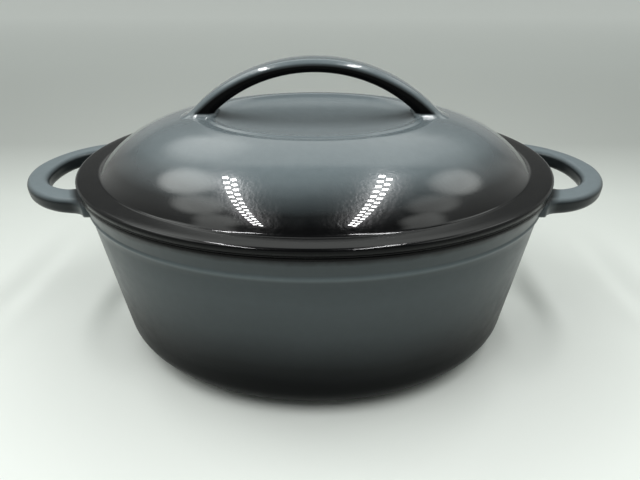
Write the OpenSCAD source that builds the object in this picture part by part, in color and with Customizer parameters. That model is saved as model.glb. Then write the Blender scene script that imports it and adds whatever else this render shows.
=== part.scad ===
// Oval enamelled cast iron dutch oven with a lift-off lid.
// Millimetres, +Z up, X along the length. Origin at the middle of the base, on the table.

/* [Oval] */
// half width of the rim, along Y
rim_half_w = 117; // [100:0.5:135]
// length over width of the outside
oval_ratio = 1.285; // [1.1:0.005:1.45]
// length over width of the cavity, so that the wall is even all round
cavity_ratio = 1.297; // [1.1:0.001:1.45]

/* [Pot] */
// height of the rim above the table
rim_z = 121.8; // [90:0.2:150]
// height of the flared band below the rim
band_h = 13; // [8:0.5:20]
// how far the band flares out past the top of the wall
band_proud = 2.6; // [1:0.2:6]
// height over which the band flares before it turns upright
flare_h = 11; // [6:0.5:11]
// how far the wall leans in from the band to the base corner
wall_lean = 6.4; // [2:0.1:12]
// outer radius of the base corner
corner_r = 24; // [12:0.5:36]
// thickness of the wall with its enamel
wall_t = 4.4; // [3:0.1:7]
// thickness of the floor with its enamel
floor_t = 5.4; // [4:0.1:8]
// inner radius of the base corner
cavity_corner_r = 20; // [8:0.5:34]
// how far the bare foot stands below the enamel
foot_proud = 0.4; // [0.2:0.1:2]

/* [Side handles] */
// distance of each loop's centre from the middle of the pot
loop_x = 138; // [120:0.2:170]
// outer radius of a loop
loop_r = 50; // [35:0.2:60]
// width of the bar of a loop
loop_bar_w = 15.4; // [10:0.2:24]
// top face of a loop
loop_top_z = 118.6; // [90:0.2:121]
// thickness of a loop
loop_t = 9.4; // [6:0.2:14]
// rounding of the loop's edges
loop_edge_r = 3.4; // [1:0.1:4.5]

/* [Lid] */
// thickness of the lid's flange
flange_t = 5; // [3:0.1:8]
// half width of the level part at the top of the dome
crown_half_w = 50; // [30:0.5:70]
// height of the dome's crown above the table
crown_z = 155.5; // [140:0.25:180]
// profile radius of the dome
dome_r = 69; // [50:0.5:110]
// thickness of the lid with its enamel
lid_t = 4.6; // [3:0.1:7]
// clearance between the lid's locating skirt and the cavity
skirt_gap = 0.9; // [0.3:0.1:3]
// width of the locating skirt
skirt_w = 4.6; // [2:0.1:8]
// depth of the locating skirt below the rim
skirt_h = 3.2; // [1:0.1:8]
// gap left between the lid's seat and the rim so that the two never overlap
seat_gap = 0.05; // [0:0.01:0.3]

/* [Dish in the lid] */
// half width of the dish at the level of the crown
dish_half_w = 46; // [30:0.5:60]
// length over width of the dish
dish_ratio = 1.4; // [1.1:0.01:1.8]
// height of the bead round the dish above the crown
bead_h = 0.9; // [0.3:0.1:1.8]
// depth of the dish at its ends below the crown
dish_edge_d = 3.5; // [2:0.25:8]
// further depth at the middle of the dish
dish_sag = 2.6; // [0.5:0.1:6]

/* [Arch handle] */
// highest point of the arch
arch_top_z = 190; // [170:0.5:220]
// radius of the arch's outer curve
arch_out_r = 108; // [70:0.5:150]
// highest point of the opening under the arch
arch_open_z = 181; // [160:0.5:205]
// radius of the opening's curve
arch_in_r = 93; // [60:0.5:130]
// width of the arch, along Y
arch_w = 17; // [12:0.5:26]
// rounding of the arch's edges
arch_edge_r = 3.2; // [1:0.1:4]

/* [Enamel] */
// thickness of the enamel
coat = 0.5; // [0.3:0.05:1]
// depth of the black enamel down the outside of the pot's rim
pot_black_h = 1.7; // [0.5:0.1:4]
// height of the black enamel up the edge of the lid's flange
lid_black_h = 1.3; // [0.5:0.1:4]

/* [Hidden] */
$fn = 144;
// arcs stand this far past the lines they run into, so that no two curves only touch
nudge = 0.004;
band_half_w = rim_half_w - 0.4;
band_z = rim_z - band_h;
wall_top_r = band_half_w - band_proud;
lean = wall_lean / (band_z - corner_r);
lean_k = sqrt(1 + lean * lean);
cavity_top_r = wall_top_r - wall_t + lean * band_h;
skirt_r = cavity_top_r - lean * skirt_h - skirt_gap;
dome_c = crown_z - dome_r;
dish_z = crown_z - dish_edge_d;
sag_span = dish_ratio * (dish_half_w - dish_edge_d);
sag_r = (sag_span * sag_span + dish_sag * dish_sag) / (2 * dish_sag);
dish_low_z = dish_z - dish_sag;
arch_out_c = arch_top_z - arch_out_r;
arch_in_c = arch_open_z - arch_in_r;
cast_colour = [0.16, 0.16, 0.16];
grey_enamel = [0.32, 0.33, 0.35];
black_enamel = [0.03, 0.03, 0.03];
cream_enamel = [0.86, 0.82, 0.72];

// ---- ovals ----
// Turns a profile round an oval, a quarter at a time. The profile's x is its half width.
module oval(ratio) {
  for (q = [0:3]) scale([ratio, 1, 1]) rotate([0, 0, 90 * q]) rotate_extrude(angle = 90)
    children();
}

// A slab out to r with rounded lower and upper edges.
module slab_2d(r, z0, z1, lo, hi) {
  polygon([[0, z0], [r - lo, z0], [r, z0 + lo], [r, z1 - hi], [r - hi, z1], [0, z1]]);
  translate([r - lo, z0 + lo]) circle(r = lo + nudge);
  translate([r - hi, z1 - hi]) circle(r = hi + nudge);
}

// A leaning wall on a rounded corner: wr is its half width at height wz.
module tub_2d(wr, wz, z0, cr, z1) {
  r0 = wr - lean * (wz - z0);
  rc = r0 + lean * cr - cr * lean_k;
  polygon([[0, z0], [rc, z0], [rc, z0 + cr],
           [rc + cr / lean_k, z0 + cr - cr * lean / lean_k],
           [r0 + lean * (z1 - z0), z1], [0, z1]]);
  translate([rc, z0 + cr]) circle(r = cr + nudge);
}

// The flared band, upright for its last few millimetres, with a rounded rim.
module band_2d(t) {
  k = band_proud / flare_h;
  kk = sqrt(1 + k * k);
  r1 = band_half_w - t;
  z1 = rim_z - t;
  hi = 1.3 - t;
  polygon([[0, band_z - 3], [wall_top_r - 3 * k - t * kk, band_z - 3],
           [r1, band_z + flare_h + t * (kk - 1) / k], [r1, z1 - hi], [r1 - hi, z1], [0, z1]]);
  translate([r1 - hi, z1 - hi]) circle(r = hi + nudge);
}

module below(z) {
  translate([-250, -200, -50]) cube([500, 400, z + 50]);
}

// ---- pot ----
// The outside of the pot without its handles, shrunk by t.
module pot_body(t) {
  oval(oval_ratio) {
    tub_2d(wall_top_r - t * lean_k, band_z, foot_proud + t, corner_r - t, band_z + 4);
    band_2d(t);
  }
}

module foot_pad() {
  oval(oval_ratio) square([76, 6]);
}

// The hollow, grown by t, running out through the top.
module cavity(t) {
  oval(cavity_ratio)
    tub_2d(wall_top_r - wall_t + t, band_z, foot_proud + floor_t - t,
           cavity_corner_r + t, rim_z + 8);
}

module loops(t) {
  r0 = loop_r - loop_bar_w + t;
  r1 = loop_r - t;
  z0 = loop_top_z - loop_t + t;
  z1 = loop_top_z - t;
  e = loop_edge_r - t;
  for (s = [-1, 1]) translate([s * loop_x, 0, 0]) rotate_extrude() {
    polygon([[r0 + e, z0], [r1 - e, z0], [r1, z0 + e], [r1, z1 - e],
             [r1 - e, z1], [r0 + e, z1], [r0, z1 - e], [r0, z0 + e]]);
    for (r = [r0 + e, r1 - e]) for (z = [z0 + e, z1 - e])
      translate([r, z]) circle(r = e + nudge);
  }
}

// The pot's iron before it is hollowed.
module pot_blank() {
  pot_body(coat);
  loops(coat);
  foot_pad();
}

module pot_casting() {
  color(cast_colour) difference() {
    pot_blank();
    cavity(coat);
  }
}

module pot_outer_enamel() {
  color(grey_enamel) difference() {
    intersection() {
      union() {
        pot_body(0);
        loops(0);
      }
      below(rim_z - pot_black_h);
    }
    pot_blank();
    cavity(coat);
  }
}

module pot_rim_enamel() {
  color(black_enamel) difference() {
    pot_body(0);
    below(rim_z - pot_black_h);
    pot_body(coat);
    cavity(coat);
  }
}

module pot_inner_enamel() {
  color(cream_enamel) intersection() {
    difference() {
      cavity(coat);
      cavity(0);
    }
    below(rim_z);
  }
}

// ---- lid ----
module dome_2d(t) {
  translate([0, rim_z + 2]) square([crown_half_w + 1, crown_z - t - rim_z - 2]);
  intersection() {
    translate([crown_half_w, dome_c]) circle(r = dome_r - t + nudge);
    translate([crown_half_w - 2, rim_z + 2]) square([90, 60]);
  }
}

// The dish cut into the crown, grown by t.
module dish(t) {
  z0 = dish_low_z - t - 1;
  z1 = crown_z + 8;
  intersection() {
    oval(dish_ratio)
      polygon([[0, z0], [dish_half_w + z0 - crown_z + t * 1.414, z0],
               [dish_half_w + z1 - crown_z + t * 1.414, z1], [0, z1]]);
    translate([0, 0, dish_low_z + sag_r]) sphere(r = sag_r + t, $fn = 240);
  }
}

module bead(t) {
  oval(dish_ratio)
    translate([dish_half_w + 1.4, crown_z + bead_h - 2]) circle(r = 2 - t);
}

module arch(t) {
  h = arch_w / 2;
  e = arch_edge_r;
  intersection() {
    difference() {
      translate([0, 0, arch_out_c]) rotate([90, 0, 0]) rotate_extrude() {
        polygon([[0, -h + t], [arch_out_r - e, -h + t], [arch_out_r - t, -h + e],
                 [arch_out_r - t, h - e], [arch_out_r - e, h - t], [0, h - t]]);
        for (s = [-1, 1]) translate([arch_out_r - e, s * (h - e)]) circle(r = e - t + nudge);
      }
      translate([0, 0, arch_in_c]) rotate([90, 0, 0]) rotate_extrude() {
        translate([0, -h - 4]) square([arch_in_r + t, arch_w + 8]);
        for (s = [0, 1]) mirror([0, s]) difference() {
          translate([arch_in_r + t - 1, h - e]) square([e - t + 1, e + 4]);
          translate([arch_in_r + e, h - e]) circle(r = e - t + nudge);
        }
      }
    }
    translate([-150, -50, 148]) cube([300, 100, 100]);
  }
}

// The outside of the lid with its arch, shrunk by t.
module lid_outer(t) {
  difference() {
    union() {
      oval(oval_ratio) {
        slab_2d(rim_half_w - t, rim_z + seat_gap + t, rim_z + flange_t - t, 1 - t, 1.8 - t);
        dome_2d(t);
      }
      oval(cavity_ratio) translate([0, rim_z - skirt_h + t]) square([skirt_r - t, skirt_h + 2]);
      bead(t);
    }
    dish(t);
  }
  arch(t);
}

// The hollow under the lid, grown by t.
module lid_hollow(t) {
  z0 = rim_z - skirt_h - 2;
  zr = crown_z - lid_t;
  zb = dish_low_z - lid_t + t;
  difference() {
    oval(oval_ratio) {
      translate([0, z0]) square([skirt_r - skirt_w + t, skirt_h + 2.6 + t]);
      translate([0, z0 + 1]) square([crown_half_w + 1, zr + t - z0 - 1]);
      intersection() {
        translate([crown_half_w, dome_c]) circle(r = dome_r - lid_t + t + nudge);
        translate([crown_half_w - 2, z0 + 1]) square([skirt_r - skirt_w + t - crown_half_w + 2, 60]);
      }
    }
    oval(dish_ratio)
      polygon([[0, zb], [dish_half_w + 6.5 + zb - crown_z - t * 0.414, zb],
               [dish_half_w + 6.5 - lid_t + 6 - t * 0.414 - t, zr + 6], [0, zr + 6]]);
  }
}

module lid_casting() {
  color(cast_colour) difference() {
    lid_outer(coat);
    lid_hollow(coat);
  }
}

module lid_outer_enamel() {
  color(grey_enamel) difference() {
    lid_outer(0);
    below(rim_z + lid_black_h);
    lid_outer(coat);
  }
}

module lid_rim_enamel() {
  color(black_enamel) intersection() {
    difference() {
      lid_outer(0);
      lid_outer(coat);
      lid_hollow(coat);
    }
    below(rim_z + lid_black_h);
  }
}

module lid_inner_enamel() {
  color(cream_enamel) difference() {
    lid_hollow(coat);
    lid_hollow(0);
    below(rim_z - skirt_h);
  }
}

pot_casting();
pot_outer_enamel();
pot_inner_enamel();
pot_rim_enamel();
lid_casting();
lid_outer_enamel();
lid_inner_enamel();
lid_rim_enamel();
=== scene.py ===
import math

import bmesh
import bpy
import numpy as np
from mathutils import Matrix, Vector


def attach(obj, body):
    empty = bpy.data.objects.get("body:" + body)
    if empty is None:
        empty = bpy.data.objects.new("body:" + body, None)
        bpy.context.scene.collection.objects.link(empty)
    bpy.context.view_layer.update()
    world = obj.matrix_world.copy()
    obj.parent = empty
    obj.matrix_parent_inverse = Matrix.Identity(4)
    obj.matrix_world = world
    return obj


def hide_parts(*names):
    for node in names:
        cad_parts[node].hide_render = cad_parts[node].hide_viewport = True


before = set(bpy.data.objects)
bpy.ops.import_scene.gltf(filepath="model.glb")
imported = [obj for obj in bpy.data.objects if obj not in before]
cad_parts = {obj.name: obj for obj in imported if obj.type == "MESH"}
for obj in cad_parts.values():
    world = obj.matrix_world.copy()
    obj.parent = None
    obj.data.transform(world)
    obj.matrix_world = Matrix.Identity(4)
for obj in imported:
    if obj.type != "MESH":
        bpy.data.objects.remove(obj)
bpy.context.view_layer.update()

# Shapes are in millimetres until piece() makes metres of them. A profile is a list of (b, z):
# b is an oval's half-width along y, and its half-length along x is b times a ratio.
MM = 0.001
ROUND = 256                           # points round each oval
POW = 2.0 / 2.03                      # a hair fuller than an ellipse
OUT, IN, DISH = 1.285, 1.297, 1.40    # ratio of the outside, of the inside and of the lid's dish


# ---------------------------------------------------------------- shape helpers
def clamp(v):
    return min(1.0, max(0.0, v))


def arc(cx, cz, r, a0, a1, n):
    """n + 1 points on a circle, from a0 to a1 degrees."""
    return [(cx + r * math.cos(math.radians(a0 + (a1 - a0) * i / n)),
             cz + r * math.sin(math.radians(a0 + (a1 - a0) * i / n))) for i in range(n + 1)]


def rounded(pts, seg=7):
    """A polyline of (x, z, r) with each corner rounded to radius r."""
    out = []
    for i, p in enumerate(pts):
        if p[2] <= 0 or i in (0, len(pts) - 1):
            out.append((p[0], p[1]))
            continue
        here = np.array(p[:2])
        a, b = np.array(pts[i - 1][:2]) - here, np.array(pts[i + 1][:2]) - here
        la, lb = np.linalg.norm(a), np.linalg.norm(b)
        a, b = a / la, b / lb
        half = math.acos(max(-1, min(1, float(a @ b)))) / 2
        t = min(p[2] / math.tan(half), la * 0.49, lb * 0.49)
        r = t * math.tan(half)
        c = here + (a + b) / np.linalg.norm(a + b) * r / math.sin(half)
        s, e = here + a * t - c, here + b * t - c
        a0 = math.atan2(s[1], s[0])
        da = (math.atan2(e[1], e[0]) - a0 + math.pi) % (2 * math.pi) - math.pi
        for k in range(seg + 1):
            w = a0 + da * k / seg
            out.append((c[0] + r * math.cos(w), c[1] + r * math.sin(w)))
    return out


def ring(b, z, ratio, squeeze):
    t = np.arange(ROUND) * 2 * math.pi / ROUND
    c, s = np.cos(t), np.sin(t)
    x = b * ratio * np.sign(c) * np.abs(c) ** POW
    y = b * squeeze * np.sign(s) * np.abs(s) ** POW
    return np.stack([x, y, np.full(ROUND, z)], 1)


def turned(profile, ratio, closed, squeeze=lambda b: 1.0):
    """Vertices and faces of a profile turned round an oval. Ends on the axis become poles."""
    verts, faces, rows = [], [], []
    for b, z in profile:
        if b < 1e-6:
            rows.append([len(verts)])
            verts.append((0, 0, z))
        else:
            rows.append(list(range(len(verts), len(verts) + ROUND)))
            verts += [tuple(p) for p in ring(b, z, ratio(b, z), squeeze(b))]
    pairs = list(zip(rows, rows[1:])) + ([(rows[-1], rows[0])] if closed else [])
    for r, q in pairs:
        if len(r) == 1 and len(q) == 1:
            continue
        for i in range(ROUND):
            j = (i + 1) % ROUND
            if len(r) == 1:
                faces.append((r[0], q[i], q[j]))
            elif len(q) == 1:
                faces.append((r[i], q[0], r[j]))
            else:
                faces.append((r[i], q[i], q[j], r[j]))
    return verts, faces


def join(*parts):
    verts, faces = [], []
    for v, f in parts:
        k = len(verts)
        verts += list(v)
        faces += [tuple(i + k for i in g) for g in f]
    return verts, faces


def tube(sections):
    """Closed sections joined in a row, with both ends capped."""
    n = len(sections[0])
    verts = [tuple(p) for s in sections for p in s]
    faces = []
    for k in range(len(sections) - 1):
        for i in range(n):
            j = (i + 1) % n
            faces.append((k * n + i, k * n + j, (k + 1) * n + j, (k + 1) * n + i))
    for k in (0, len(sections) - 1):
        verts.append(tuple(np.mean(sections[k], axis=0)))
        c = len(verts) - 1
        faces += [(k * n + i, k * n + (i + 1) % n, c) for i in range(n)]
    return verts, faces


def strap(s0, s1, z0, z1, e, bow=0.0):
    """A bar's section with edges of radius e, as (s, z, normal s, normal z). Every section has the
    same count of points, with four more on each flat, and the top flat bowed up by bow."""
    corners = []
    for cs, cz, a0 in ((s1 - e, z1 - e, 90), (s1 - e, z0 + e, 0), (s0 + e, z0 + e, -90), (s0 + e, z1 - e, 180)):
        for q in range(9):
            a = math.radians(a0 - 90 * q / 8)
            corners.append((cs + e * math.cos(a), cz + e * math.sin(a), math.cos(a), math.sin(a)))
    out = []
    for q, p in enumerate(corners):
        out.append(p)
        if q % 9 < 8:
            continue
        r = corners[(q + 1) % len(corners)]
        for v in (k / 5 for k in range(1, 5)):
            s, z, ns, nz = (p[i] + (r[i] - p[i]) * v for i in range(4))
            out.append((s, z + (bow * (1 - (2 * v - 1) ** 2) if p[3] > 0.5 else 0.0), ns, nz))
    return out


def flare(d, r):
    """1 on a surface, falling to 0 at distance r from it along a quarter circle."""
    w = clamp(1 - max(d, 0) / r)
    return 1 - math.sqrt(1 - w * w)


def piece(name, shape, body, slot, *nodes):
    mesh = bpy.data.meshes.new(name)
    mesh.from_pydata([(x * MM, y * MM, z * MM) for x, y, z in shape[0]], [], shape[1])
    bm = bmesh.new()
    bm.from_mesh(mesh)
    bmesh.ops.recalc_face_normals(bm, faces=bm.faces)
    bm.to_mesh(mesh)
    bm.free()
    for p in mesh.polygons:
        p.use_smooth = True
    o = bpy.data.objects.new(name, mesh)
    bpy.context.scene.collection.objects.link(o)
    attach(o, body)
    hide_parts(*nodes)
    return o


# ---------------------------------------------------------------- the pot
RIM_Z = 121.8            # top of the rim
BAND_Z = 108.8           # where the band starts to flare from the wall
BAND_B = 116.6           # half-width over the band
FOOT_Z, FLOOR_Z = 0.4, 5.8          # underside of the coat, and the floor inside
CORNER_R, INNER_R = 24, 20          # corner round the bottom, outside and inside
WALL_T = 4.4             # the wall with both coats
SKIN = 1.6               # how far a coat's hidden back lies behind its face
LEAN = 6.4 / 84.8
TILT = math.degrees(math.atan(LEAN))


def wall_b(z):
    """Half-width over the leaning wall."""
    return 114.0 - LEAN * (BAND_Z - z)


def corner_b(r, floor, inset=0.0):
    """Centre of the bottom corner of radius r that touches both the wall and the floor."""
    return wall_b(floor) + LEAN * r - r * math.sqrt(1 + LEAN * LEAN) - inset


def inward(edge):
    """The ratio across a flat rim: the outside's at its edge, the inside's 6 mm further in."""
    return lambda b, z: OUT + (IN - OUT) * clamp((edge - b) / 6)


cb, cz = corner_b(CORNER_R, FOOT_Z), FOOT_Z + CORNER_R
outer = [(76.0, FOOT_Z)] + arc(cb, cz, CORNER_R, -90, -TILT, 22)
outer += [(wall_b(z), z) for z in (30, 40, 50, 60, 70, 80, 90, 97, 102, 104.5)]
# a soft ledge, then the band flares out to the rim
outer += rounded([(wall_b(104.5), 104.5, 0), (114.85, 108.3, 1.6), (114.25, 109.7, 1.4), (BAND_B, 119.4, 3.0),
                  (BAND_B, 120.1, 0)], 8)[1:]
back = [(115.0, 120.1), (114.6, 116), (112.3, 106)]
back += [(wall_b(z) - SKIN, z) for z in (90, 60, 30)]
back += arc(cb, cz, CORNER_R - SKIN, -TILT, -90, 10) + [(76.0, FOOT_Z + SKIN)]

# the loops: centre along x, then half-length, half-width and power of the outline and of the hole
LOOP_X = 141.6
LOOP_OUTLINE = (46.38, 50.2, 1.88)
LOOP_HOLE = (31.9, 33.9, 2.3)
LOOP_Z0, LOOP_Z1, LOOP_EDGE = 108.7, 119.1, 3.7
LOOP_FILLET = 8.5


def superpoint(cx, a, b, e, t):
    c, s = math.cos(t), math.sin(t)
    return np.array([cx + a * math.copysign(abs(c) ** (2 / e), c), b * math.copysign(abs(s) ** (2 / e), s)])


def oval_gap(x, y, b, ratio):
    """Distance outside an oval, nearly."""
    a = b * ratio
    f = (x / a) ** 2 + (y / b) ** 2
    return (f - 1) / (math.hypot(2 * x / a ** 2, 2 * y / b ** 2) or 1)


def loop(side):
    """One side handle: a bar swept from the band, round its tip and back to the band."""
    tip = []
    for k in range(-60, 61):
        t = k / 60 * math.pi / 2
        tip.append((superpoint(LOOP_X, *LOOP_OUTLINE, t), superpoint(LOOP_X, *LOOP_HOLE, t)))
    lead = []
    for x in (k / 11 for k in range(1, 12)):
        lead.append((np.array([LOOP_X - 11.5 * x, LOOP_OUTLINE[1]]),
                     np.array([LOOP_X - 4.6 * x, LOOP_HOLE[1]])))
    mirrored = [(o * (1, -1), i * (1, -1)) for o, i in reversed(lead)]
    sections = []
    for o, i in mirrored + tip + lead:
        w = np.linalg.norm(o - i)
        u = (o - i) / w
        pts = []
        for s, z, ns, nz in strap(0, w, LOOP_Z0, LOOP_Z1, LOOP_EDGE):
            xy = i + u * s
            g = flare(oval_gap(xy[0], xy[1], BAND_B, OUT) + 0.15, LOOP_FILLET)
            xy = xy + u * ns * g * 7.0
            pts.append((side * xy[0], side * xy[1], z + nz * g * (1.1 if nz > 0 else 0.5)))
        sections.append(pts)
    return tube(sections)


pot_outer = piece("pot_outer_coat", join(turned(outer + back, lambda b, z: OUT, True), loop(1), loop(-1)),
                  "pot", "grey_enamel", "pot_outer_enamel")

cb, cz = corner_b(INNER_R, FLOOR_Z, WALL_T), FLOOR_Z + INNER_R
inside = [(b, FLOOR_Z) for b in (0, 15, 35, 60)] + arc(cb, cz, INNER_R, -90, -TILT, 18)
inside += [(wall_b(z) - WALL_T, z) for z in (30, 45, 60, 75, 90, 105, 115, 119.6)]
inside += [(wall_b(z) - WALL_T + SKIN, z) for z in (119.6, 100, 60, 30)]
inside += arc(cb, cz, INNER_R + SKIN, -TILT, -90, 10) + [(b, FLOOR_Z - SKIN) for b in (60, 30, 0)]
pot_inner = piece("pot_inner_coat", turned(inside, lambda b, z: IN, False),
                  "pot", "cream_enamel", "pot_inner_enamel")

CAVITY_B = wall_b(RIM_Z) - WALL_T
rim = rounded([(116.4, 119.5, 0), (BAND_B + 0.05, 120.1, 0.2), (BAND_B + 0.05, RIM_Z, 1.4),
               (CAVITY_B, RIM_Z, 1.1), (CAVITY_B - 0.02, 119.4, 0.2), (CAVITY_B + 1.7, 119.2, 0.2),
               (115.0, 119.3, 0)], 8)
pot_rim = piece("pot_rim_coat", turned(rim, inward(BAND_B), True), "pot", "black_enamel", "pot_rim_enamel")

foot = [(b, 0) for b in (0, 30, 60, 74)] + arc(74.9, 0.8, 0.8, -90, 0, 4)[1:]
foot += [(75.7, 2.2), (60, 2.4), (0, 2.4)]
pot_foot = piece("pot_iron", turned(foot, lambda b, z: OUT, False), "pot", "bare_iron", "pot_casting")

# ---------------------------------------------------------------- the lid
SEAT_Z = 121.85                # underside of the flange
FLANGE_B = 117.0               # half-width over the flange
DOME_B, DOME_Z, DOME_R = 50, 86.5, 69.0       # centre and radius of the dome's profile
FLANGE_A = math.degrees(math.asin((126.8 - DOME_Z) / DOME_R))   # where the dome meets the flange

# the dish, the bead round it, the dome and the flange with its rounded edge
top = [(0, 149.4), (6, 149.43), (13, 149.6), (20, 149.93), (26, 150.36), (31, 150.9), (35, 151.5)]
top += rounded([(35, 151.5, 0), (39.0, 152.25, 22), (43.6, 153.75, 14), (46.3, 155.5, 1.2), (47.4, 155.95, 0.8),
                (48.9, 155.2, 1.3), (54, 155.25, 0)], 8)[1:]
top += arc(DOME_B, DOME_Z, DOME_R, 86.4, FLANGE_A + 2.2, 44)[1:]
top += rounded([(*top[-1], 0), (DOME_B + DOME_R * math.cos(math.radians(FLANGE_A)), 126.85, 2.4),
                (112, 126.75, 0)], 8)[1:]
top += rounded([(112, 126.75, 0), (FLANGE_B, 126.55, 1.9), (FLANGE_B, 123.1, 0)], 9)[1:]
under = [(115.0, 123.1), (112.0, 124.6), (104.0, 125.0)]
under += arc(DOME_B, DOME_Z, DOME_R - 1.8, FLANGE_A - 2, 90, 11)
under += [(47, 152.6), (42.0, 149.7), (30, 148.6), (15, 147.9), (0, 147.7)]


def lid_ratio(b, z):
    """The dish is a longer oval than the flange."""
    w = clamp((b - 49.5) / 14.0)
    return DISH + (OUT - DISH) * w * w * (3 - 2 * w)


def crown_squeeze(b):
    """The dome falls off a little sooner across its width than along its length."""
    u = clamp((b - 49.0) / 55.0)
    return 1.0 - 0.10 * 6.75 * u * (1 - u) ** 2


lid_b, lid_z = np.array([p for p in top if p[0] < 112]).T


def lid_surface(x, y):
    """Height of the lid's top at (x, y)."""
    b = math.hypot(x / OUT, y)
    for _ in range(14):
        b = 0.5 * b + 0.5 * math.hypot(x / lid_ratio(b, 0), y / crown_squeeze(b))
    return float(np.interp(b, lid_b, lid_z))


# the arch: its sections fan out from a hub on the axis, between two circles given by centre and radius
HUB_Z = 85.0
ARCH_OUTER, ARCH_INNER = (78.0, 110.7), (88.0, 93.0)
ARCH_HALF_W, ARCH_EDGE, ARCH_FILLET = 8.5, 3.4, 4.2


def reach(d, c, r):
    """Distance from the hub along d to the circle of radius r centred at height c."""
    m = HUB_Z - c
    return -m * d[1] + math.sqrt(max(0, (m * d[1]) ** 2 - m * m + r * r))


def arch():
    """The arch handle: a rounded strap between two circles, flared where it lands on the lid."""
    sections = []
    for k in range(-74, 75):
        th = math.radians(k / 74 * 51.5)
        d = np.array([math.sin(th), math.cos(th)])
        r1, r0 = reach(d, *ARCH_OUTER), reach(d, *ARCH_INNER)
        pts = []
        for y, r, ny, nr in strap(-ARCH_HALF_W, ARCH_HALF_W, r0, r1, min(ARCH_EDGE, (r1 - r0) / 2 - 0.2), 0.3):
            x, z = r * d[0], HUB_Z + r * d[1]
            ground = lid_surface(x, y)
            if abs(k) > 40:
                g = flare(z - ground + 0.1, ARCH_FILLET)
                nx = nr * d[0]
                level = math.hypot(nx, ny) or 1
                x += nx / level * g * 3.4
                y += ny / level * g * 2.4
            # what runs into the lid stays just below its surface
            pts.append((x, y, z if z >= ground else max(z, min(ground, lid_surface(x, y)) - 1.2)))
        sections.append(pts)
    return tube(sections)


lid_outer = piece("lid_outer_coat", join(turned(top + under, lid_ratio, False, crown_squeeze), arch()),
                  "lid", "grey_enamel", "lid_outer_enamel", "lid_casting")

SKIRT_Z = 118.6                                       # bottom of the skirt that centres the lid
SKIRT_B = CAVITY_B - LEAN * 3.2 - 0.9                 # outside of the skirt
seat = rounded([(116.9, 123.1, 0), (FLANGE_B, SEAT_Z, 1.1), (SKIRT_B, SEAT_Z, 0.5), (SKIRT_B, SKIRT_Z, 0.9),
                (SKIRT_B - 4.6, SKIRT_Z, 0.9), (SKIRT_B - 4.6, 122.0, 0), (SKIRT_B - 3.4, 122.8, 0),
                (115.0, 123.1, 0)], 6)
lid_rim = piece("lid_rim_coat", turned(seat, inward(FLANGE_B), True), "lid", "black_enamel", "lid_rim_enamel")

ceil = rounded([(0, 144.8, 0), (25, 144.8, 0), (41.9, 144.8, 3), (47.2, 150.6, 3), (51, 150.9, 0)], 6)
ceil += arc(DOME_B, DOME_Z, 64.4, 86, 35.2, 25)
ceil += rounded([(103.2, 122.5, 0), (SKIRT_B - 4.5, 122.4, 0.6), (SKIRT_B - 4.5, 120.0, 0)], 4)
ceil += [(SKIRT_B - 3.6, 120.0), (SKIRT_B - 3.6, 123.4), (103.0, 124.2)]
ceil += arc(DOME_B, DOME_Z, 66.0, 37, 90, 11)
ceil += [(46.5, 152.2), (41.5, 147.0), (25, 146.4), (0, 146.4)]


def ceil_ratio(b, z):
    """The lid's own ratio, but the skirt's towards the skirt, so the cream stays behind the black all round."""
    return lid_ratio(b, z) + (IN - OUT) * clamp((b - 101.0) / 3.8)


lid_inner = piece("lid_inner_coat", turned(ceil, ceil_ratio, False, crown_squeeze),
                  "lid", "cream_enamel", "lid_inner_enamel")


# ---------------------------------------------------------------- materials
class Graph:
    """A node tree with short calls for the nodes used here. Lengths are in metres from here on."""

    def __init__(self, tree):
        self.t = tree
        self.t.nodes.clear()
        self.co = self.new("ShaderNodeTexCoord")

    def new(self, kind, **kw):
        n = self.t.nodes.new(kind)
        for k, v in kw.items():
            setattr(n, k, v)
        return n

    def link(self, a, b):
        self.t.links.new(a, b)

    def feed(self, socket, v):
        """Links a value to a socket, or sets it where it is a number or a colour."""
        if isinstance(v, tuple):
            socket.default_value = (*v, 1)
        elif isinstance(v, (int, float)):
            socket.default_value = v
        else:
            self.link(v, socket)

    def math(self, op, a, b=0.0, clamp=False):
        n = self.new("ShaderNodeMath", operation=op, use_clamp=clamp)
        self.feed(n.inputs[0], a)
        self.feed(n.inputs[1], b)
        return n.outputs[0]

    def span(self, value, lo, hi, a=0.0, b=1.0, kind="LINEAR"):
        """Maps lo..hi to a..b and stays at a or b beyond."""
        n = self.new("ShaderNodeMapRange", interpolation_type=kind)
        for name, v in (("Value", value), ("From Min", lo), ("From Max", hi), ("To Min", a), ("To Max", b)):
            self.feed(n.inputs[name], v)
        return n.outputs[0]

    def xyz(self, coords="Object"):
        n = self.new("ShaderNodeSeparateXYZ")
        self.link(self.co.outputs[coords], n.inputs[0])
        return n.outputs

    def combine(self, *rgb):
        n = self.new("ShaderNodeCombineColor")
        for s, v in zip(n.inputs, rgb):
            self.feed(s, v)
        return n.outputs[0]


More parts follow.
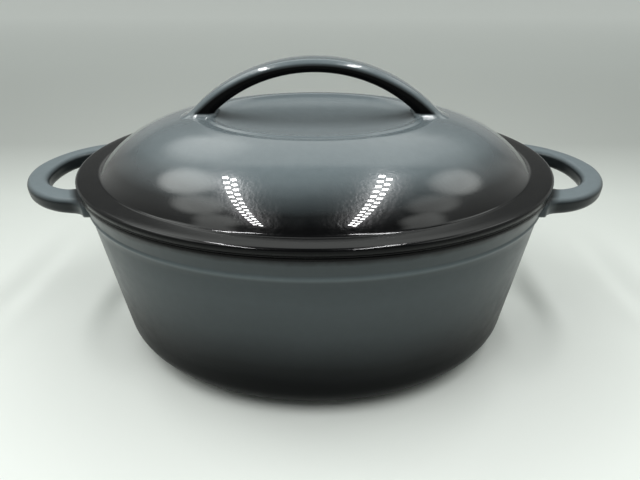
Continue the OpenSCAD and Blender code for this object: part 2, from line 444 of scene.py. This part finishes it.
class Material(Graph):
    def __init__(self, name):
        self.mat = bpy.data.materials.new(name)
        self.mat.use_nodes = True
        super().__init__(self.mat.node_tree)
        self.bsdf = self.new("ShaderNodeBsdfPrincipled")
        self.link(self.bsdf.outputs[0], self.new("ShaderNodeOutputMaterial").inputs["Surface"])

    def set(self, **kw):
        """Inputs of the shader, by name with _ for a space."""
        for k, v in kw.items():
            self.feed(self.bsdf.inputs[k.replace("_", " ")], v)

    def noise(self, scale, detail=2.0, rough=0.5):
        n = self.new("ShaderNodeTexNoise")
        for name, v in (("Vector", self.co.outputs["Object"]), ("Scale", scale), ("Detail", detail),
                        ("Roughness", rough)):
            self.feed(n.inputs[name], v)
        return n.outputs["Fac"]

    def uneven(self, a, b, *noise):
        """A noise stretched to run from a to b."""
        return self.span(self.noise(*noise), 0.3, 0.7, a, b)

    def mottle(self, a, b):
        """The fine unevenness of the enamel's roughness."""
        return self.uneven(a, b, 120, 3, 0.55)

    def ramp(self, fac, stops):
        n = self.new("ShaderNodeValToRGB")
        n.color_ramp.interpolation = "EASE" if len(stops) == 2 else "LINEAR"
        while len(n.color_ramp.elements) < len(stops):
            n.color_ramp.elements.new(0.5)
        for e, (p, c) in zip(n.color_ramp.elements, stops):
            e.position = p
            e.color = (*c, 1)
        self.link(fac, n.inputs[0])
        return n.outputs[0]

    def mix(self, fac, a, b, blend="MIX"):
        n = self.new("ShaderNodeMix", data_type="RGBA", blend_type=blend)
        for i, v in ((0, fac), (6, a), (7, b)):
            self.feed(n.inputs[i], v)
        return n.outputs[2]

    def bump(self, height):
        n = self.new("ShaderNodeBump")
        n.inputs["Strength"].default_value = 1.0
        n.inputs["Distance"].default_value = 1.0
        self.link(height, n.inputs["Height"])
        self.link(n.outputs[0], self.bsdf.inputs["Normal"])

    def ripple(self, slow, fine):
        """Slow waves and a fine orange peel, as on sprayed and fired enamel. Heights in micrometres."""
        self.bump(self.math("ADD", self.math("MULTIPLY", self.noise(38, 1, 0.4), slow * 1e-6),
                            self.math("MULTIPLY", self.noise(460, 1, 0.5), fine * 1e-6)))

    def shade(self, col, lo, hi):
        """A slight unevenness of the colour."""
        v = self.span(self.noise(170, 3, 0.6), 0.25, 0.75, lo, hi)
        return self.mix(1.0, col, self.combine(v, v, v), "MULTIPLY")

    def specks(self, scale, size):
        """Sparse round spots: 1 inside a spot, 0 elsewhere."""
        v = self.new("ShaderNodeTexVoronoi", feature="F1")
        v.inputs["Scale"].default_value = scale
        self.link(self.co.outputs["Object"], v.inputs["Vector"])
        near = self.span(v.outputs["Distance"], size, size * 0.6)
        pick = self.new("ShaderNodeSeparateColor")
        self.link(v.outputs["Color"], pick.inputs[0])
        return self.math("MULTIPLY", near, self.math("GREATER_THAN", pick.outputs[0], 0.8), True)

    def oval(self, x, y, a, b):
        """(x/a)^2 + (y/b)^2, which is 1 on an oval."""
        return self.math("ADD", self.math("POWER", self.math("DIVIDE", x, a), 2.0),
                         self.math("POWER", self.math("DIVIDE", y, b), 2.0))


GREY = (0.138, 0.169, 0.180)
DARK = (0.0025, 0.0027, 0.0029)


def tint(f):
    return tuple(c * f for c in GREY)


def pot_grey():
    """Grey enamel that shades to black towards the foot."""
    n = Material("pot_grey_enamel")
    x, y, z = n.xyz()
    t = n.span(n.math("ADD", z, n.uneven(-0.003, 0.003, 9, 2, 0.5)), 0.0, 0.122)
    stops = ((0.06, 0.012), (0.22, 0.022), (0.34, 0.055), (0.45, 0.17), (0.56, 0.31), (0.74, 0.42),
             (0.86, 0.38), (1.0, 0.34))
    col = n.ramp(t, [(p, tint(f)) for p, f in stops])
    # painted highlight: a paler line of colour along the ledge under the band stands in for the light the ledge
    # catches
    painted_ledge_highlight = n.math("MULTIPLY", n.span(z, 0.1055, 0.1076), n.span(z, 0.1102, 0.1086))
    col = n.mix(n.math("MULTIPLY", painted_ledge_highlight, 0.9), col, tint(0.74))
    # a darker margin under the black rim, with an uneven edge
    edge = n.math("ADD", z, n.uneven(-0.0009, 0.0009, 60, 3, 0.55))
    col = n.mix(n.span(edge, 0.1165, 0.1192), col, tint(0.07))
    # painted light and shade: the loops' tops are painted a lighter grey than their sides and the band, and
    # their sides darker than the band, standing in for the light on the tops and the shade on the sides
    loops = n.span(n.math("POWER", n.oval(x, y, 0.1515, 0.1180), 0.5), 1.0, 1.03)
    painted_lit_tops = n.span(z, 0.1165, 0.1190)
    col = n.mix(loops, col, n.mix(painted_lit_tops, tint(0.10), tint(1.02)))
    col = n.shade(col, 0.96, 1.04)
    col = n.mix(n.math("MULTIPLY", n.specks(120, 0.05), 0.35), col, (0.010, 0.010, 0.010))
    n.set(Base_Color=col, Roughness=n.mottle(0.28, 0.36), Specular_IOR_Level=n.span(t, 0.25, 0.65, 0.03, 0.14),
          Coat_Weight=n.span(t, 0.25, 0.65, 0.03, 0.12), Coat_Roughness=0.08)
    n.ripple(30, 20)
    return n.mat


def lid_grey():
    """Glossy grey enamel that shades to black down the dome."""
    n = Material("lid_grey_enamel")
    x, y, z = n.xyz()
    wobble = n.uneven(-0.0010, 0.0010, 14, 3, 0.55)
    t = n.span(n.math("ADD", z, wobble), 0.121, 0.157)
    col = n.ramp(t, [(0.26, DARK), (0.38, tint(0.04)), (0.54, tint(0.32)), (0.68, tint(0.74)),
                     (0.78, tint(0.90))])
    # the arch is grey along its outer face and shades to black on its sides and underneath
    dz = n.math("SUBTRACT", z, ARCH_OUTER[0] * MM)
    rad = n.math("POWER", n.math("ADD", n.math("MULTIPLY", x, x), n.math("MULTIPLY", dz, dz)), 0.5)
    rad = n.span(n.math("ADD", rad, n.math("MULTIPLY", wobble, 0.2)), 0.1027, ARCH_OUTER[1] * MM)
    above = n.span(z, 0.1563, 0.1573)
    col = n.mix(above, col, n.ramp(rad, [(0.53, DARK), (0.66, tint(0.28)), (0.78, tint(0.92))]))
    col = n.shade(col, 0.96, 1.04)
    # the black lower part, the arch's sides and the dish are less glossy than the crown
    level = n.mix(above, n.span(t, 0.10, 0.60, 0.06, 0.30), n.span(rad, 0.52, 0.72, 0.03, 0.30))
    coat = n.ramp(n.span(z, 0.1210, 0.1410), [(0.20, (0.10,) * 3), (0.27, (0.60,) * 3), (0.5, (0.85,) * 3)])
    coat = n.mix(n.span(n.oval(x, y, 0.0640, 0.0457), 1.0, 0.94), coat, (0.14,) * 3)
    coat = n.mix(above, coat, n.ramp(rad, [(0.52, (0.04,) * 3), (0.72, (0.80,) * 3)]))
    n.set(Base_Color=col, Roughness=n.mottle(0.20, 0.26), Specular_IOR_Level=level, Coat_Weight=coat,
          Coat_Roughness=0.015)
    n.ripple(30, 75)
    return n.mat


def black():
    n = Material("black_rim_enamel")
    n.set(Base_Color=n.mix(n.uneven(0.0, 1.0, 60, 3, 0.5), (0.0022, 0.0022, 0.0023), (0.004, 0.004, 0.0042)),
          Roughness=n.mottle(0.24, 0.34), Specular_IOR_Level=0.06, Coat_Weight=0.07, Coat_Roughness=0.05)
    n.ripple(30, 60)
    return n.mat


def cream():
    n = Material("cream_enamel")
    col = n.mix(n.uneven(0.0, 1.0, 6, 3, 0.5), (0.70, 0.64, 0.52), (0.76, 0.71, 0.60))
    n.set(Base_Color=n.mix(n.math("MULTIPLY", n.specks(150, 0.09), 0.8), col, (0.30, 0.25, 0.18)),
          Roughness=n.mottle(0.16, 0.28), Specular_IOR_Level=0.4, Coat_Weight=0.6, Coat_Roughness=0.04)
    n.ripple(40, 20)
    return n.mat


def iron():
    n = Material("bare_iron")
    rust = n.span(n.noise(24, 5, 0.6), 0.56, 0.72)
    col = n.mix(n.uneven(0.0, 1.0, 200, 4, 0.6), (0.028, 0.027, 0.026), (0.060, 0.058, 0.056))
    n.set(Base_Color=n.mix(n.math("MULTIPLY", rust, 0.35), col, (0.11, 0.055, 0.03)),
          Metallic=0.6, Roughness=n.uneven(0.45, 0.72, 300, 3, 0.6))
    n.bump(n.math("MULTIPLY", n.noise(700, 4, 0.65), 0.00016))
    return n.mat


for make, pieces in ((pot_grey, (pot_outer,)), (lid_grey, (lid_outer,)), (cream, (pot_inner,)),
                     (iron, (pot_foot,)), (black, (pot_rim, lid_rim))):
    mat = make()
    for o in pieces:
        o.data.materials.append(mat)
# the lid's underside carries the frame's own plain finish of this name, not the material made by cream()
lid_inner.data.materials.append(bpy.data.materials["cream_enamel"])

# ---------------------------------------------------------------- floor and light
bpy.ops.mesh.primitive_grid_add(x_subdivisions=40, y_subdivisions=40, size=6, location=(0, 0, 0))
floor = bpy.context.object
floor.name = "floor"
n = Material("pale_floor")
# painted shade: the floor is painted darker behind the pot, darkest about 0.4 m back, standing in for the
# dimmer light towards the back of the tent; further back it is painted paler again
n.set(Base_Color=n.ramp(n.span(n.xyz()[1], 0.0, 2.0),
                        [(0.0, (0.78, 0.82, 0.78)), (0.10, (0.74, 0.78, 0.74)), (0.19, (0.56, 0.59, 0.56)),
                         (0.5, (0.72, 0.76, 0.73)), (1.0, (0.90, 0.94, 0.91))]),
      Roughness=0.75, Specular_IOR_Level=0.25)
floor.data.materials.append(n.mat)

world = bpy.data.worlds.new("studio")
bpy.context.scene.world = world
world.use_nodes = True
w = Graph(world.node_tree)
wx, wy, wz = w.xyz("Generated")


def glow_span(*a):
    return w.span(*a, kind="SMOOTHSTEP")


def patch(direction, lo, hi, power):
    """A soft round patch of light in a direction."""
    v = w.new("ShaderNodeVectorMath", operation="DOT_PRODUCT")
    w.link(w.co.outputs["Generated"], v.inputs[0])
    v.inputs[1].default_value = Vector(direction).normalized()
    return glow_span(v.outputs["Value"], lo, hi, 0.0, power)


# a tent open at the front: pale behind, at the sides and low down, dark in front and straight above
aside = w.math("ABSOLUTE", wx)
glow = w.math("MAXIMUM", glow_span(wy, 0.40, 0.50, 0.0, 0.17),
              w.math("MULTIPLY", glow_span(aside, 0.60, 0.74), glow_span(wy, -0.8, -0.3, 0.0, 0.45)))
glow = w.math("MAXIMUM", glow, glow_span(wz, 0.34, 0.20, 0.0, 0.34))
ceiling = w.math("MULTIPLY", glow_span(wy, 0.40, 0.47, 0.0, 0.86), glow_span(wz, 0.46, 0.60))
glow = w.math("ADD", glow, w.math("MULTIPLY", ceiling, glow_span(aside, 0.22, 0.58, 1.0, 0.22)))
PATCHES = (((-0.40, 0.64, 0.66), 0.975, 0.998, 1.0), ((0.36, 0.66, 0.67), 0.955, 0.998, 0.15),
           ((-0.58, 0.26, 0.77), 0.976, 0.996, 3.6), ((-0.62, -0.10, 0.78), 0.974, 0.996, 2.2),
           ((-0.58, -0.42, 0.70), 0.980, 0.997, 1.8), ((0.64, 0.26, 0.72), 0.976, 0.996, 2.4),
           ((0.62, -0.10, 0.77), 0.974, 0.996, 1.3), ((0.63, -0.40, 0.66), 0.980, 0.997, 1.6))
for spec in PATCHES:
    glow = w.math("ADD", glow, patch(*spec))
glow = w.math("ADD", glow, 0.015)
background = w.new("ShaderNodeBackground")
w.link(w.combine(*(w.math("MULTIPLY", glow, f) for f in (0.97, 1.0, 0.97))), background.inputs["Color"])
w.link(background.outputs[0], w.new("ShaderNodeOutputWorld").inputs[0])

# two strips of small lamps that face down, two staggered rows in each
LAMP_Z, LAMP_SIZE, LAMP_POWER, LAMPS = 0.62, (0.019, 0.017), 2.1 / 28, 14
for side, x0, x1 in (("left", -0.238, -0.246), ("right", 0.186, 0.152)):
    for row in range(2):
        for k in range(LAMPS):
            u = (k + 0.5 * row) / LAMPS
            name = "lamp_%s_%d_%d" % (side, row, k)
            lamp = bpy.data.lights.new(name, "AREA")
            lamp.shape = "RECTANGLE"
            lamp.size, lamp.size_y = LAMP_SIZE
            lamp.energy = LAMP_POWER
            o = bpy.data.objects.new(name, lamp)
            o.location = (x0 + (x1 - x0) * u + (row - 0.5) * 0.025, 0.088 - 0.57 * u, LAMP_Z)
            bpy.context.scene.collection.objects.link(o)

# ---------------------------------------------------------------- camera
cam_data = bpy.data.cameras.new("camera")
cam_data.sensor_width = 36.0
cam_data.lens = 26.8
cam_data.clip_start = 0.01
cam = bpy.data.objects.new("camera", cam_data)
cam.location = (0.0032, -0.299, 0.2413)
cam.rotation_euler = (math.pi / 2 - 0.541, 0.0, 0.0)
bpy.context.scene.collection.objects.link(cam)
bpy.context.scene.camera = cam
bpy.context.scene.view_settings.view_transform = "Standard"
